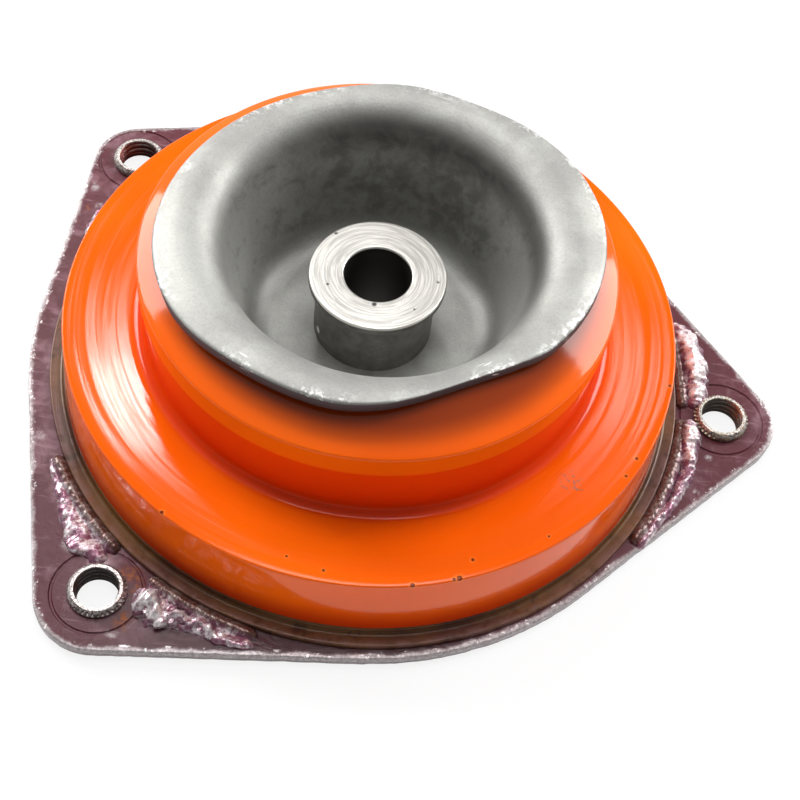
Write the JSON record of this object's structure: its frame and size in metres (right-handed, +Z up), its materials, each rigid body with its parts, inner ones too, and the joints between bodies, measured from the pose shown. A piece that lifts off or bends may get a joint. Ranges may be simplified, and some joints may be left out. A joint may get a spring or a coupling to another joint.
{
  "type": "strut top mount",
  "caption": "Upper strut mount: eared steel plate with threaded bushes, cast polyurethane body, dished steel cup and flanged centre sleeve.",
  "frame": {"origin": "on the axis of the strut rod's bore, in the plane of the plate's underside", "axes": "+Z up along the bore, out of the cup; +X towards the ear at the picture's right; the camera looks from -Y"},
  "size_m": [0.1648, 0.1506, 0.0488],
  "materials": {
    "plate_lacquer": "thin mauve lacquer over blasted steel, bare at the edges, rust beside the front bush",
    "housing_lacquer": "glossy mauve-brown lacquer that mirrors the orange body",
    "weld_metal": "weld beads under thin glossy mauve lacquer",
    "bush_steel": "bare machined steel, bright teeth, dark bore",
    "orange_polyurethane": "glossy cast orange polyurethane elastomer, slightly translucent",
    "blasted_steel": "matte grit-blasted grey steel, darker mottling inside, bright nicks on the rim",
    "machined_steel": "bright turned face with fine rings, dull grey side",
    "washer_steel": "plain blasted steel"
  },
  "bodies": {
    "root": {"mounting_plate": "plate_lacquer", "housing_ring": "housing_lacquer", "weld_beads": "weld_metal", "rear_threaded_bush": "bush_steel", "front_threaded_bush": "bush_steel", "side_threaded_bush": "bush_steel", "polyurethane_body": "orange_polyurethane", "top_cup": "blasted_steel", "centre_sleeve": "machined_steel", "lower_washer": "washer_steel"}
  },
  "joints": []
}
